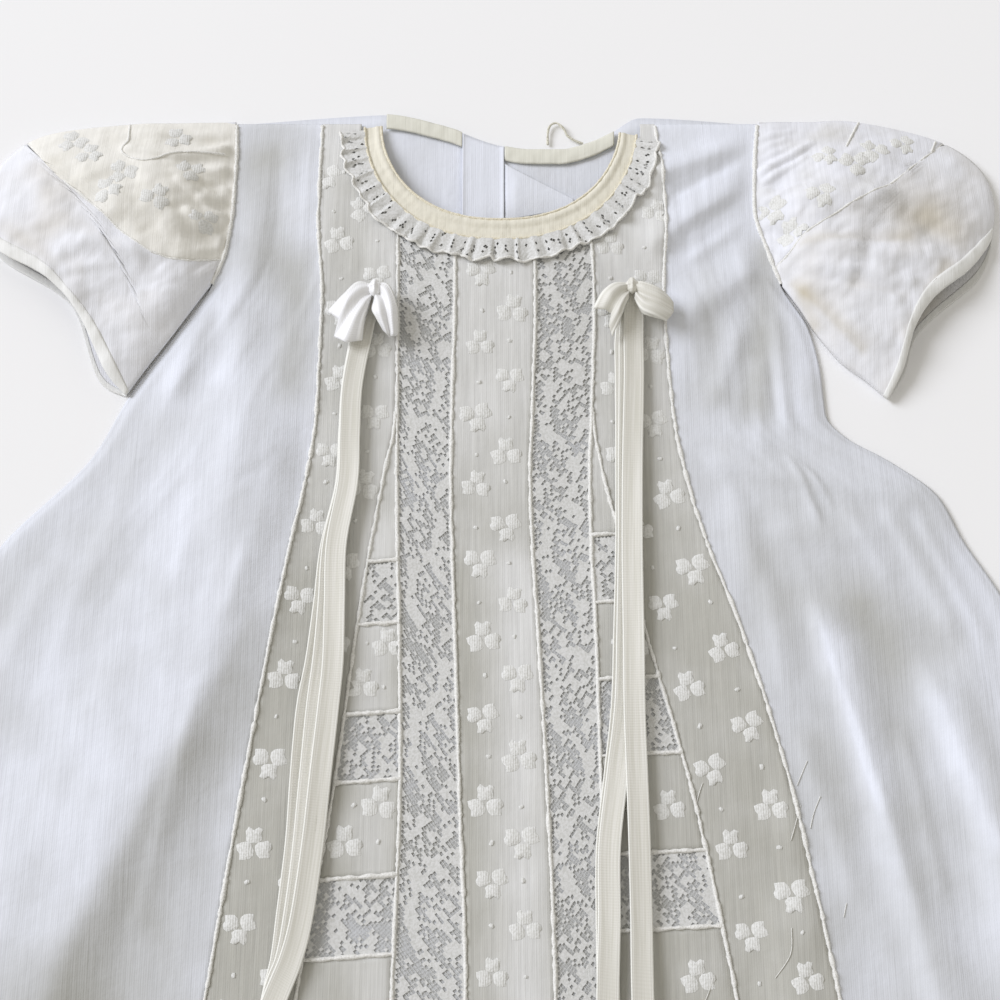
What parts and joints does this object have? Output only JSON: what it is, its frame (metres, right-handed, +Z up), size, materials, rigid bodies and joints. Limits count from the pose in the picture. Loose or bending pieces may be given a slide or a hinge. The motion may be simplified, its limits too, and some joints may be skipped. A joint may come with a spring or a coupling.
{
  "type": "christening gown",
  "caption": "Baby's christening gown in white cotton, laid flat: puffed sleeves, robed front with lace insertions and clover bands, ribbon bows.",
  "frame": {"origin": "on the surface that the gown lies on, under the middle of its bounding box", "axes": "+Y from hem to neck, +X to the viewer's right with the front upwards, +Z up from the surface"},
  "size_m": [0.6298, 0.6449, 0.0166],
  "materials": {
    "batiste": "matt, thin plain-woven cotton, washed soft",
    "clover_batiste": "matt, sheer cotton worked with white clovers and dots",
    "lace": "matt, cotton machine lace on a fine net ground",
    "neck_binding": "matt, bias cotton yellowed with age",
    "cuff_binding": "matt, white bias cotton",
    "ribbon": "soft sheen, narrow ivory ribbon",
    "bow_satin": "satin sheen, white ribbon"
  },
  "bodies": {
    "root": {"back_flap": "batiste", "back_left": "batiste", "back_placket": "batiste", "back_right": "batiste", "bow_knot_left": "bow_satin", "bow_knot_right": "bow_satin", "bow_loop_left_1": "bow_satin", "bow_loop_left_2": "bow_satin", "bow_loop_right_1": "bow_satin", "bow_loop_right_2": "bow_satin", "centre_strip": "clover_batiste", "clover_band_left": "clover_batiste", "clover_band_right": "clover_batiste", "cuff_left": "cuff_binding", "cuff_right": "cuff_binding", "lace_insertion_left": "lace", "lace_insertion_right": "lace", "ladder_left_10_lace": "lace", "ladder_left_11_clover": "clover_batiste", "ladder_left_1_clover": "clover_batiste", "ladder_left_2_lace": "lace", "ladder_left_3_clover": "clover_batiste", "ladder_left_4_lace": "lace", "ladder_left_5_clover": "clover_batiste", "ladder_left_6_lace": "lace", "ladder_left_7_clover": "clover_batiste", "ladder_left_8_lace": "lace", "ladder_left_9_clover": "clover_batiste", "ladder_right_10_lace": "lace", "ladder_right_11_clover": "clover_batiste", "ladder_right_1_clover": "clover_batiste", "ladder_right_2_lace": "lace", "ladder_right_3_clover": "clover_batiste", "ladder_right_4_lace": "lace", "ladder_right_5_clover": "clover_batiste", "ladder_right_6_lace": "lace", "ladder_right_7_clover": "clover_batiste", "ladder_right_8_lace": "lace", "ladder_right_9_clover": "clover_batiste", "neck_binding_back_left": "neck_binding", "neck_binding_back_right": "neck_binding", "neck_binding_front": "neck_binding", "neck_frill": "lace", "neck_tie": "neck_binding", "ribbon_left_1": "ribbon", "ribbon_left_2": "ribbon", "ribbon_left_3": "ribbon", "ribbon_right_1": "ribbon", "ribbon_right_2": "ribbon", "ribbon_right_3": "ribbon", "side_front_left": "batiste", "side_front_right": "batiste", "sleeve_insert_left": "clover_batiste", "sleeve_insert_right": "clover_batiste", "sleeve_left": "batiste", "sleeve_right": "batiste"}
  },
  "joints": []
}
